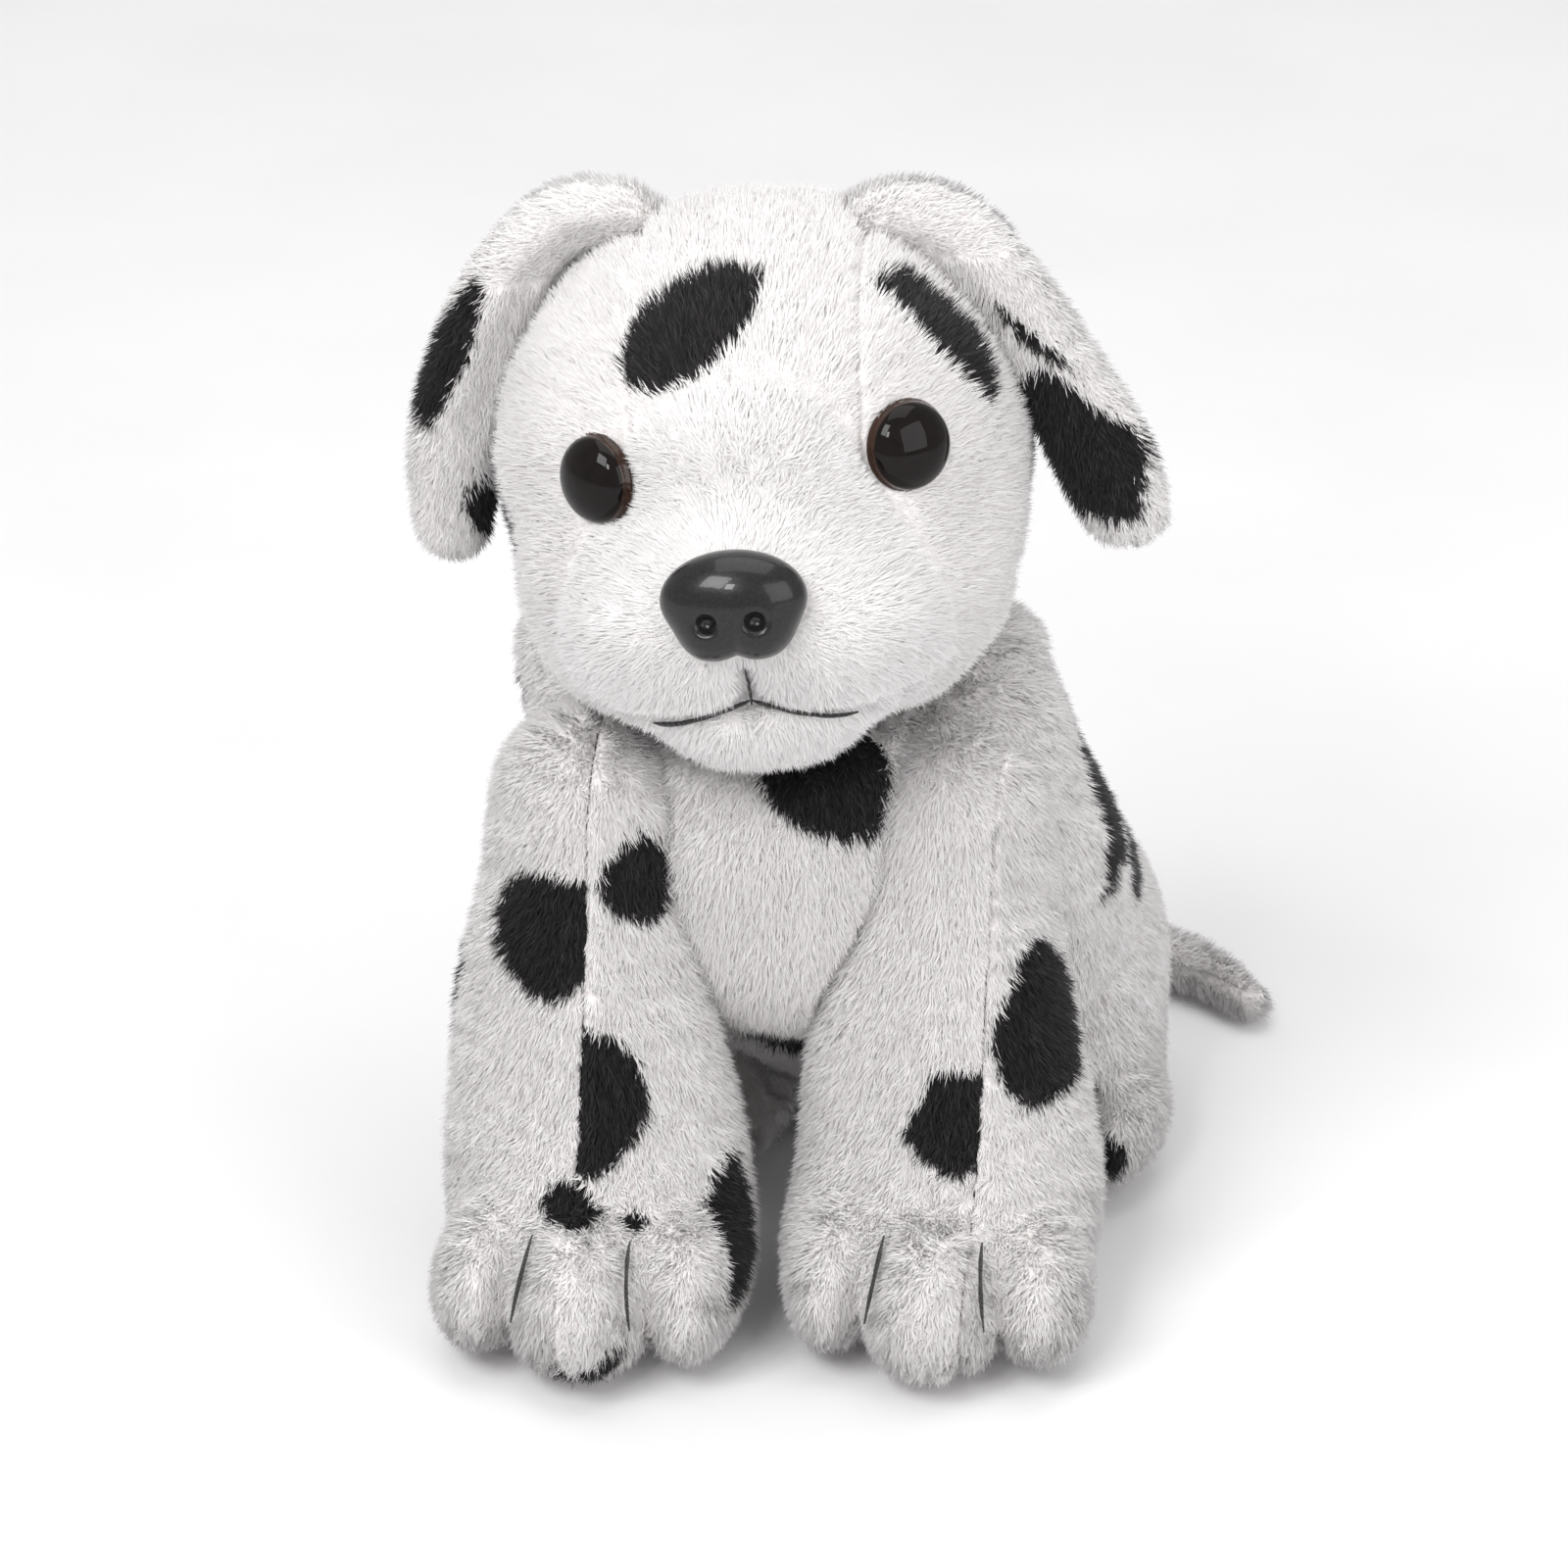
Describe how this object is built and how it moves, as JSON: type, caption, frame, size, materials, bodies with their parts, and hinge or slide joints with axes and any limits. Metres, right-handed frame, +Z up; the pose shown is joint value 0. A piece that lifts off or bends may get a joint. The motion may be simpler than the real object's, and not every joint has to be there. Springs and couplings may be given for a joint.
{
  "type": "plush dog",
  "caption": "Seated plush puppy with jointed soft head, floppy ears, legs and tail; a soft toy that sits on a flat surface.",
  "frame": {"origin": "point on the floor under the middle of the seat, on the animal's centre line", "axes": "+Z up, -Y the way the puppy faces, +X its left side"},
  "size_m": [0.1125, 0.1395, 0.1497],
  "materials": {
    "plush": "short pile, printed with irregular black spots",
    "fibre_fill": "loose polyester fibre",
    "pellet_bag": "plain weave bag of plastic pellets",
    "eye": "high gloss",
    "nose": "semi gloss, fine moulded grain",
    "washer": "natural nylon",
    "black_thread": "twisted polyester thread",
    "white_thread": "twisted polyester thread"
  },
  "bodies": {
    "torso": {"torso_stuffing": "fibre_fill", "pellet_bag": "pellet_bag", "body_panel_left": "plush", "body_panel_right": "plush", "chest_panel": "plush", "seat_panel": "plush"},
    "neck": {"neck_thread": "white_thread"},
    "head": {"head_stuffing": "fibre_fill", "head_panel_left": "plush", "head_panel_right": "plush", "forehead_gusset": "plush", "muzzle_panel": "plush", "chin_panel": "plush", "eye_left": "eye", "eye_right": "eye", "eye_washer_left": "washer", "eye_washer_right": "washer", "nose": "nose", "nose_washer": "washer", "mouth_thread": "black_thread"},
    "ear_left": {"ear_left_outer": "plush", "ear_left_lining": "plush"},
    "ear_right": {"ear_right_outer": "plush", "ear_right_lining": "plush"},
    "tail": {"tail_upper": "plush", "tail_under": "plush", "tail_stuffing": "fibre_fill"},
    "front_leg_left": {"front_leg_left_outer": "plush", "front_leg_left_inner": "plush", "front_leg_left_sole": "plush", "front_leg_left_stuffing": "fibre_fill", "front_left_toe_stitches": "black_thread"},
    "hind_leg_left": {"hind_leg_left_outer": "plush", "hind_leg_left_inner": "plush", "hind_leg_left_sole": "plush", "hind_leg_left_stuffing": "fibre_fill", "hind_left_toe_stitches": "black_thread"},
    "front_leg_right": {"front_leg_right_outer": "plush", "front_leg_right_inner": "plush", "front_leg_right_sole": "plush", "front_leg_right_stuffing": "fibre_fill", "front_right_toe_stitches": "black_thread"},
    "hind_leg_right": {"hind_leg_right_outer": "plush", "hind_leg_right_inner": "plush", "hind_leg_right_sole": "plush", "hind_leg_right_stuffing": "fibre_fill", "hind_right_toe_stitches": "black_thread"}
  },
  "joints": [
    {"name": "neck_turn", "type": "hinge", "parent": "torso", "child": "neck", "pos_m": [-0.0045, -0.038, 0.111], "axis": [0, 0, 1], "range_deg": [-20, 20], "stiffness_Nm_per_rad": 0.08},
    {"name": "head_nod", "type": "hinge", "parent": "neck", "child": "head", "pos_m": [-0.0045, -0.038, 0.111], "axis": [0.9939, 0.0347, 0.1045], "range_deg": [-12, 8], "stiffness_Nm_per_rad": 0.08},
    {"name": "ear_left_lift", "type": "hinge", "parent": "head", "child": "ear_left", "pos_m": [0.00618, -0.03162, 0.1413], "axis": [0.0349, -0.9994, 0], "range_deg": [0, 70]},
    {"name": "ear_right_lift", "type": "hinge", "parent": "head", "child": "ear_right", "pos_m": [-0.02165, -0.03259, 0.13838], "axis": [-0.0349, 0.9994, 0], "range_deg": [0, 70]},
    {"name": "tail_swing", "type": "hinge", "parent": "torso", "child": "tail", "pos_m": [0.006, 0.024, 0.012], "axis": [0, 0, 1], "range_deg": [0, 70], "stiffness_Nm_per_rad": 0.006},
    {"name": "front_leg_left_swing", "type": "hinge", "parent": "torso", "child": "front_leg_left", "pos_m": [0.0225, -0.043, 0.066], "axis": [-1, 0, 0], "range_deg": [0, 20], "stiffness_Nm_per_rad": 0.12},
    {"name": "hind_leg_left_lift", "type": "hinge", "parent": "torso", "child": "hind_leg_left", "pos_m": [0.034, -0.004, 0.023], "axis": [-1, 0, 0], "range_deg": [0, 20], "stiffness_Nm_per_rad": 0.12},
    {"name": "front_leg_right_swing", "type": "hinge", "parent": "torso", "child": "front_leg_right", "pos_m": [-0.0225, -0.049, 0.066], "axis": [-1, 0, 0], "range_deg": [0, 20], "stiffness_Nm_per_rad": 0.12},
    {"name": "hind_leg_right_lift", "type": "hinge", "parent": "torso", "child": "hind_leg_right", "pos_m": [-0.016, -0.004, 0.023], "axis": [-1, 0, 0], "range_deg": [0, 20], "stiffness_Nm_per_rad": 0.12}
  ]
}
